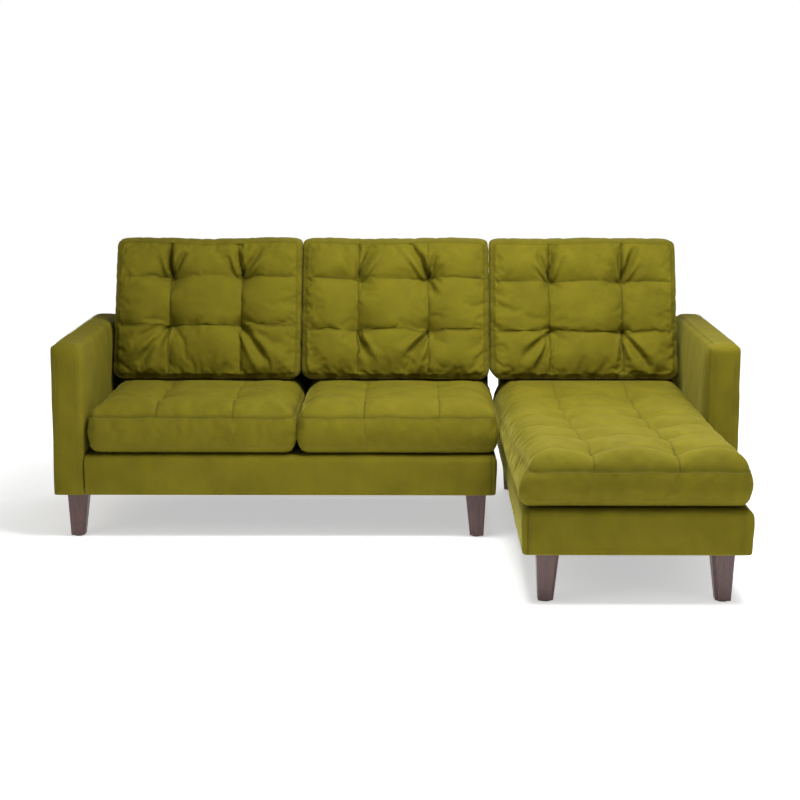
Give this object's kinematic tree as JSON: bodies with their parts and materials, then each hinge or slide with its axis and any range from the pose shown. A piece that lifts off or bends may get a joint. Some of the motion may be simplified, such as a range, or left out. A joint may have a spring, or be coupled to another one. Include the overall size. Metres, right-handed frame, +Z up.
{
  "type": "chaise sectional sofa",
  "caption": "Chaise sectional sofa in two free-standing units, a two-seater and a chaise, with loose boxed and tufted velvet cushions, slim track arms and tapered wooden legs.",
  "frame": {"origin": "on the floor, under the middle of the whole sofa's width and depth", "axes": "+X along the width, towards the chaise; +Y from the front to the back; +Z up"},
  "size_m": [2.2, 1.602, 0.918],
  "materials": {
    "velvet": "matte",
    "leg_wood": "satin",
    "softwood": "matte",
    "spring_steel": "satin",
    "zinc_steel": "satin",
    "black_steel": "satin",
    "felt": "matte",
    "cambric": "matte",
    "webbing": "matte",
    "foam": "matte",
    "fibre": "matte",
    "glide_plastic": "matte"
  },
  "bodies": {
    "chaise": {"chaise_seat_rails": "softwood", "chaise_corner_blocks": "softwood", "chaise_springs": "spring_steel", "chaise_spring_clips": "zinc_steel", "chaise_deck_pad": "felt", "chaise_dust_cover": "cambric", "chaise_base_cover": "velvet", "chaise_back_frame": "softwood", "chaise_back_webbing": "webbing", "chaise_inside_back": "velvet", "chaise_outside_back": "velvet", "right_arm_frame": "softwood", "right_arm_cover": "velvet", "chaise_frame_bolts": "zinc_steel", "chaise_leg_front_left": "leg_wood", "chaise_leg_front_right": "leg_wood", "chaise_leg_rear_left": "leg_wood", "chaise_leg_rear_right": "leg_wood", "chaise_leg_plates": "zinc_steel", "chaise_leg_studs": "zinc_steel", "chaise_leg_glides": "glide_plastic", "chaise_connector_jaws": "black_steel", "chaise_connector_screws": "black_steel"},
    "two_seater": {"two_seater_seat_rails": "softwood", "two_seater_corner_blocks": "softwood", "two_seater_springs": "spring_steel", "two_seater_spring_clips": "zinc_steel", "two_seater_deck_pad": "felt", "two_seater_dust_cover": "cambric", "two_seater_base_cover": "velvet", "two_seater_back_frame": "softwood", "two_seater_back_webbing": "webbing", "two_seater_inside_back": "velvet", "two_seater_outside_back": "velvet", "left_arm_frame": "softwood", "left_arm_cover": "velvet", "two_seater_frame_bolts": "zinc_steel", "two_seater_leg_front_left": "leg_wood", "two_seater_leg_front_right": "leg_wood", "two_seater_leg_rear_left": "leg_wood", "two_seater_leg_rear_right": "leg_wood", "two_seater_leg_plates": "zinc_steel", "two_seater_leg_studs": "zinc_steel", "two_seater_leg_glides": "glide_plastic", "two_seater_connector_blades": "black_steel", "two_seater_connector_screws": "black_steel"},
    "left_seat_cushion": {"left_seat_cushion_cover": "velvet", "left_seat_cushion_core": "foam"},
    "middle_seat_cushion": {"middle_seat_cushion_cover": "velvet", "middle_seat_cushion_core": "foam"},
    "chaise_seat_cushion": {"chaise_seat_cushion_cover": "velvet", "chaise_seat_cushion_core": "foam"},
    "left_back_cushion": {"left_back_cushion_cover": "velvet", "left_back_cushion_fill": "fibre"},
    "middle_back_cushion": {"middle_back_cushion_cover": "velvet", "middle_back_cushion_fill": "fibre"},
    "right_back_cushion": {"right_back_cushion_cover": "velvet", "right_back_cushion_fill": "fibre"}
  },
  "joints": [
    {"name": "two_seater_pull_apart", "type": "slide", "parent": "chaise", "child": "two_seater", "axis": [-1, 0, 0], "range_m": [0, 0.3]},
    {"name": "left_seat_cushion_slide", "type": "slide", "parent": "two_seater", "child": "left_seat_cushion", "axis": [0, -1, 0], "range_m": [0, 0.36]},
    {"name": "middle_seat_cushion_slide", "type": "slide", "parent": "two_seater", "child": "middle_seat_cushion", "axis": [0, -1, 0], "range_m": [0, 0.36]},
    {"name": "chaise_seat_cushion_slide", "type": "slide", "parent": "chaise", "child": "chaise_seat_cushion", "axis": [0, -1, 0], "range_m": [0, 0.36]},
    {"name": "left_back_cushion_lift_off", "type": "slide", "parent": "two_seater", "child": "left_back_cushion", "axis": [0, 0, 1], "range_m": [0, 0.26]},
    {"name": "middle_back_cushion_lift_off", "type": "slide", "parent": "two_seater", "child": "middle_back_cushion", "axis": [0, 0, 1], "range_m": [0, 0.26]},
    {"name": "right_back_cushion_lift_off", "type": "slide", "parent": "chaise", "child": "right_back_cushion", "axis": [0, 0, 1], "range_m": [0, 0.26]}
  ]
}
